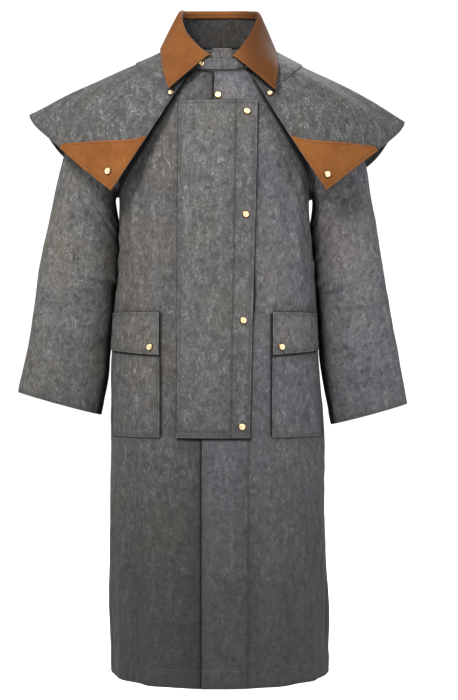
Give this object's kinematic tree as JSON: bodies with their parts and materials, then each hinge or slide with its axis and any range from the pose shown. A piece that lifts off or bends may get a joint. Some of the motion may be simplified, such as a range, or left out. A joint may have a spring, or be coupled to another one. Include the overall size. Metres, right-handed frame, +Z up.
{
  "type": "caped duster coat",
  "caption": "Long waxed-canvas duster coat with shoulder cape, tan collar and cape corners, closed by snaps and filled out as worn.",
  "frame": {"origin": "middle of the neck opening, where the wearer's neck and shoulders carry the coat", "axes": "+Z up along the coat's length, -Y out of its front, +X towards the wearer's left"},
  "size_m": [0.7702, 0.3885, 1.3291],
  "materials": {
    "grey_canvas": "matt washed waxed canvas",
    "tan_leather": "smooth matt, worn at the edges",
    "brass_snap": "polished"
  },
  "bodies": {
    "root": {"back": "grey_canvas", "front_left": "grey_canvas", "front_right": "grey_canvas", "storm_flap": "grey_canvas", "sleeve_left": "grey_canvas", "sleeve_right": "grey_canvas", "cape": "grey_canvas", "cape_yoke": "grey_canvas", "cape_corner_left": "tan_leather", "cape_corner_right": "tan_leather", "collar": "tan_leather", "collar_stand": "grey_canvas", "throat_tab": "grey_canvas", "pocket_left": "grey_canvas", "pocket_right": "grey_canvas", "pocket_flap_left": "grey_canvas", "pocket_flap_right": "grey_canvas", "snap_flap_1": "brass_snap", "snap_flap_2": "brass_snap", "snap_flap_3": "brass_snap", "snap_flap_4": "brass_snap", "snap_front": "brass_snap", "snap_throat": "brass_snap", "snap_collar_left": "brass_snap", "snap_collar_right": "brass_snap", "snap_cape_left": "brass_snap", "snap_cape_right": "brass_snap", "snap_pocket_left": "brass_snap", "snap_pocket_right": "brass_snap"}
  },
  "joints": []
}
